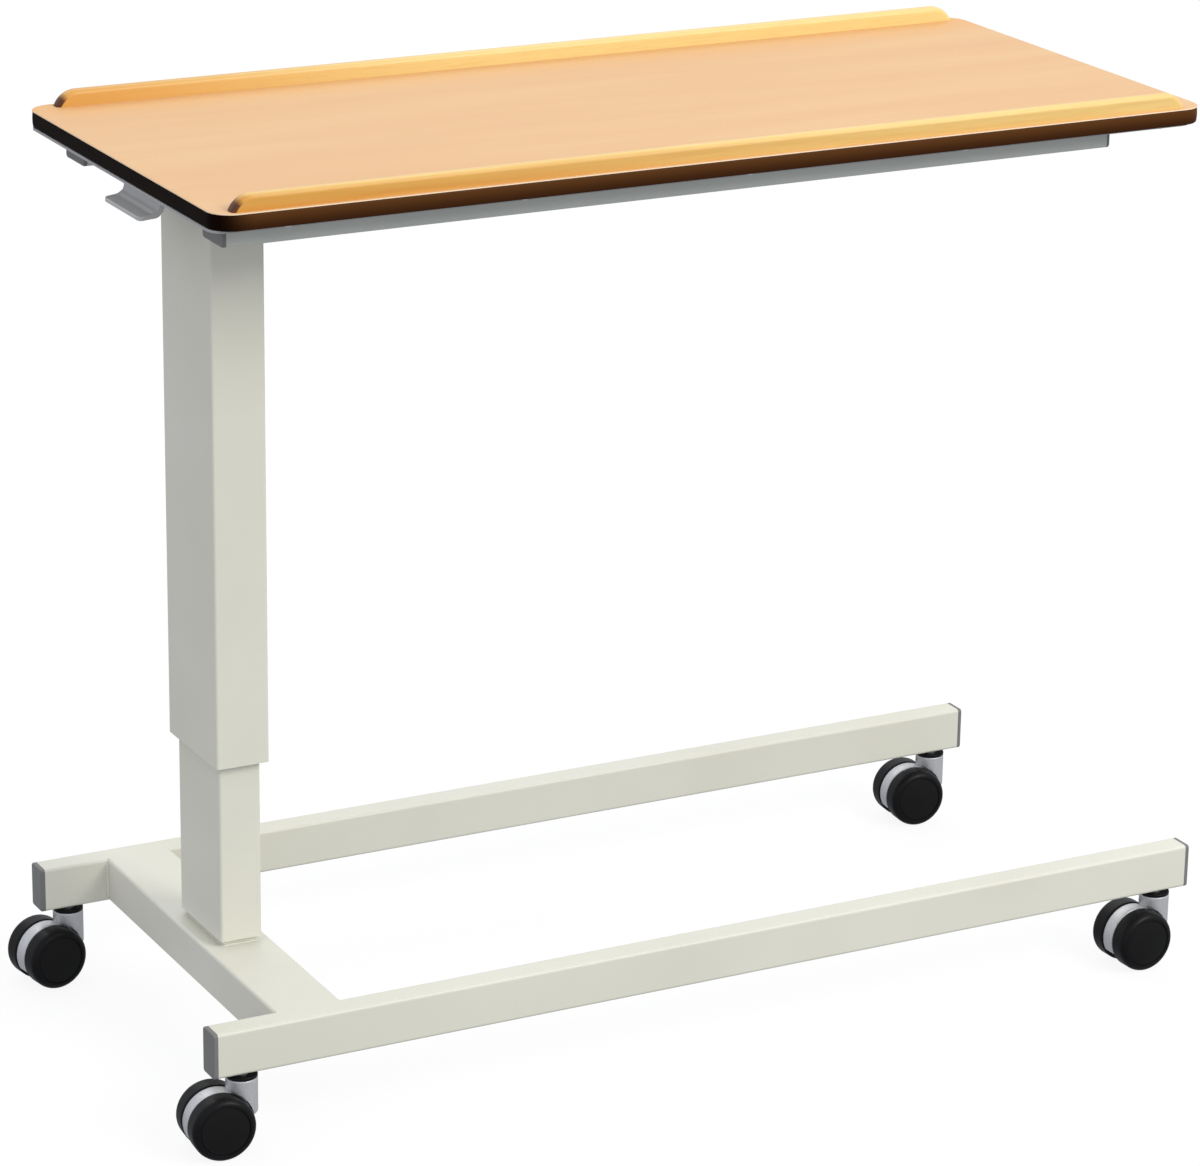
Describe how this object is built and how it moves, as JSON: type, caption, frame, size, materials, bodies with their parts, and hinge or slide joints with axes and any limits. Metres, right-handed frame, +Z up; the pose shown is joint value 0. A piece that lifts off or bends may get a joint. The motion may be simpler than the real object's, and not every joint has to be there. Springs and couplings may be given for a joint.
{
  "type": "overbed table",
  "caption": "Height-adjustable overbed table: lipped rectangular board cantilevered from a telescopic column on a C-shaped castor base, with a release lever at one end.",
  "frame": {"origin": "on the floor, at the middle of the footprint, castors included", "axes": "+X along the board from the column end to the free end, +Y across the board to the rear edge, +Z up"},
  "size_m": [0.955, 0.4359, 0.7864],
  "materials": {
    "ivory_powder_coat": "satin powder coat",
    "grey_powder_coat": "satin powder coat",
    "beech_laminate": "matt decorative laminate",
    "beech_wood": "clear lacquer",
    "board_core": "raw particle board",
    "brown_edging": "semi-gloss",
    "white_backer": "matt",
    "grey_plastic": "moulded",
    "light_grey_plastic": "moulded",
    "white_nylon": "moulded",
    "black_nylon": "semi-gloss moulded",
    "silver_housing": "metallic-grey moulding",
    "zinc_steel": "zinc plated",
    "chrome_rod": "hard chrome",
    "black_steel": "black enamel"
  },
  "bodies": {
    "base": {"leg_front": "ivory_powder_coat", "leg_rear": "ivory_powder_coat", "cross_member": "ivory_powder_coat", "leg_end_caps": "light_grey_plastic", "column_foot_plate": "ivory_powder_coat", "inner_column": "ivory_powder_coat", "upper_guide_bush": "white_nylon", "gas_cylinder": "black_steel", "gas_rod_guide": "black_nylon", "gas_spring_foot_bolt": "zinc_steel", "castor_stems": "zinc_steel", "castor_stem_nuts": "zinc_steel", "castor_collars": "black_nylon"},
    "lift": {"outer_column": "ivory_powder_coat", "lower_guide_bush": "white_nylon", "head_plate": "grey_powder_coat", "head_gussets": "grey_powder_coat", "rail_front": "grey_powder_coat", "rail_rear": "grey_powder_coat", "rail_end_caps": "grey_plastic", "board_core": "board_core", "board_laminate": "beech_laminate", "board_edging": "brown_edging", "board_backer": "white_backer", "lip_front": "beech_wood", "lip_rear": "beech_wood", "lip_screws": "zinc_steel", "board_screws": "zinc_steel", "lever_bracket": "zinc_steel", "lever_pivot_pin": "zinc_steel", "release_block": "zinc_steel", "gas_rod": "chrome_rod", "gas_piston": "black_nylon"},
    "release_lever": {"release_lever": "grey_powder_coat"},
    "release_pin": {"release_pin": "zinc_steel"},
    "castor_front_left": {"castor_housing_front_left": "silver_housing", "castor_axle_front_left": "zinc_steel"},
    "wheel_front_left_a": {"wheel_front_left_a": "black_nylon", "wheel_cap_front_left_a": "black_nylon"},
    "wheel_front_left_b": {"wheel_front_left_b": "black_nylon", "wheel_cap_front_left_b": "black_nylon"},
    "castor_rear_left": {"castor_housing_rear_left": "silver_housing", "castor_axle_rear_left": "zinc_steel"},
    "wheel_rear_left_a": {"wheel_rear_left_a": "black_nylon", "wheel_cap_rear_left_a": "black_nylon"},
    "wheel_rear_left_b": {"wheel_rear_left_b": "black_nylon", "wheel_cap_rear_left_b": "black_nylon"},
    "castor_front_right": {"castor_housing_front_right": "silver_housing", "castor_axle_front_right": "zinc_steel"},
    "wheel_front_right_a": {"wheel_front_right_a": "black_nylon", "wheel_cap_front_right_a": "black_nylon"},
    "wheel_front_right_b": {"wheel_front_right_b": "black_nylon", "wheel_cap_front_right_b": "black_nylon"},
    "castor_rear_right": {"castor_housing_rear_right": "silver_housing", "castor_axle_rear_right": "zinc_steel"},
    "wheel_rear_right_a": {"wheel_rear_right_a": "black_nylon", "wheel_cap_rear_right_a": "black_nylon"},
    "wheel_rear_right_b": {"wheel_rear_right_b": "black_nylon", "wheel_cap_rear_right_b": "black_nylon"}
  },
  "joints": [
    {"name": "column_lift", "type": "slide", "parent": "base", "child": "lift", "axis": [0, 0, 1], "range_m": [-0.1, 0.22]},
    {"name": "release_lever_tilt", "type": "hinge", "parent": "lift", "child": "release_lever", "pos_m": [-0.4, 0, 0.745], "axis": [0, 1, 0], "range_deg": [0, 6], "stiffness_Nm_per_rad": 1.2, "springref_deg": -4.58},
    {"name": "release_pin_slide", "type": "slide", "parent": "lift", "child": "release_pin", "axis": [0, 0, -1], "range_m": [0, 0.004]},
    {"name": "castor_swivel_front_left", "type": "hinge", "parent": "base", "child": "castor_front_left", "pos_m": [-0.4259, -0.19025, 0.027], "axis": [0, 0, 1], "continuous": true},
    {"name": "wheel_spin_front_left_a", "type": "hinge", "parent": "castor_front_left", "child": "wheel_front_left_a", "pos_m": [-0.44775, -0.18872, 0.027], "axis": [0.0698, 0.9976, 0], "continuous": true},
    {"name": "wheel_spin_front_left_b", "type": "hinge", "parent": "castor_front_left", "child": "wheel_front_left_b", "pos_m": [-0.44775, -0.18872, 0.027], "axis": [0.0698, 0.9976, 0], "continuous": true},
    {"name": "castor_swivel_rear_left", "type": "hinge", "parent": "base", "child": "castor_rear_left", "pos_m": [-0.4259, 0.19025, 0.027], "axis": [0, 0, 1], "continuous": true},
    {"name": "wheel_spin_rear_left_a", "type": "hinge", "parent": "castor_rear_left", "child": "wheel_rear_left_a", "pos_m": [-0.44753, 0.18682, 0.027], "axis": [-0.1564, 0.9877, 0], "continuous": true},
    {"name": "wheel_spin_rear_left_b", "type": "hinge", "parent": "castor_rear_left", "child": "wheel_rear_left_b", "pos_m": [-0.44753, 0.18682, 0.027], "axis": [-0.1564, 0.9877, 0], "continuous": true},
    {"name": "castor_swivel_front_right", "type": "hinge", "parent": "base", "child": "castor_front_right", "pos_m": [0.4505, -0.19025, 0.027], "axis": [0, 0, 1], "continuous": true},
    {"name": "wheel_spin_front_right_a", "type": "hinge", "parent": "castor_front_right", "child": "wheel_front_right_a", "pos_m": [0.42861, -0.19101, 0.027], "axis": [-0.0349, 0.9994, 0], "continuous": true},
    {"name": "wheel_spin_front_right_b", "type": "hinge", "parent": "castor_front_right", "child": "wheel_front_right_b", "pos_m": [0.42861, -0.19101, 0.027], "axis": [-0.0349, 0.9994, 0], "continuous": true},
    {"name": "castor_swivel_rear_right", "type": "hinge", "parent": "base", "child": "castor_rear_right", "pos_m": [0.4505, 0.19025, 0.027], "axis": [0, 0, 1], "continuous": true},
    {"name": "wheel_spin_rear_right_a", "type": "hinge", "parent": "castor_rear_right", "child": "wheel_rear_right_a", "pos_m": [0.42865, 0.19178, 0.027], "axis": [0.0698, 0.9976, 0], "continuous": true},
    {"name": "wheel_spin_rear_right_b", "type": "hinge", "parent": "castor_rear_right", "child": "wheel_rear_right_b", "pos_m": [0.42865, 0.19178, 0.027], "axis": [0.0698, 0.9976, 0], "continuous": true}
  ],
  "couplings": [
    {"joint": "release_pin_slide", "follows": "release_lever_tilt", "m_per_rad": 0.038}
  ]
}
